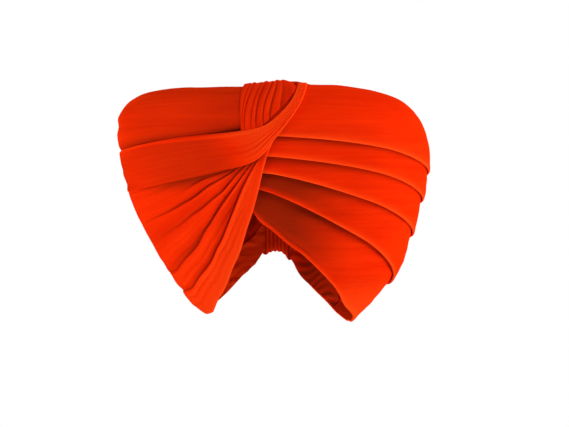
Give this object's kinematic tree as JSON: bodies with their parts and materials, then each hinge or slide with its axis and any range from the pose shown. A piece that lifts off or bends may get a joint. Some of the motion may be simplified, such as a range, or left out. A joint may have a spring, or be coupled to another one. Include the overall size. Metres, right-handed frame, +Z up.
{
  "type": "turban cloth in its wound form",
  "caption": "Long cotton cloth wound as a turban, with stepped folds on one side, a fan of folds on the other, a crossing band and a pleated crown, open below for the head.",
  "frame": {"origin": "inner apex of the head hollow, where the top of the wearer's head and hair meets the cloth", "axes": "+Z up out of the crown, -Y to the front where the folds cross, +X to the wearer's left, which is the right-hand side of a front view"},
  "size_m": [0.3017, 0.2868, 0.2277],
  "materials": {
    "cloth": "matt, fine light cotton weave, dyed bright orange"
  },
  "bodies": {
    "root": {"under_wraps": "cloth", "nape_band": "cloth", "right_wrap_1": "cloth", "right_wrap_2": "cloth", "right_wrap_3": "cloth", "right_wrap_4": "cloth", "right_wrap_5": "cloth", "left_upper_wrap": "cloth", "crossing_band": "cloth", "left_fan_wrap": "cloth", "crown_cloth": "cloth", "nape_gather": "cloth"}
  },
  "joints": []
}
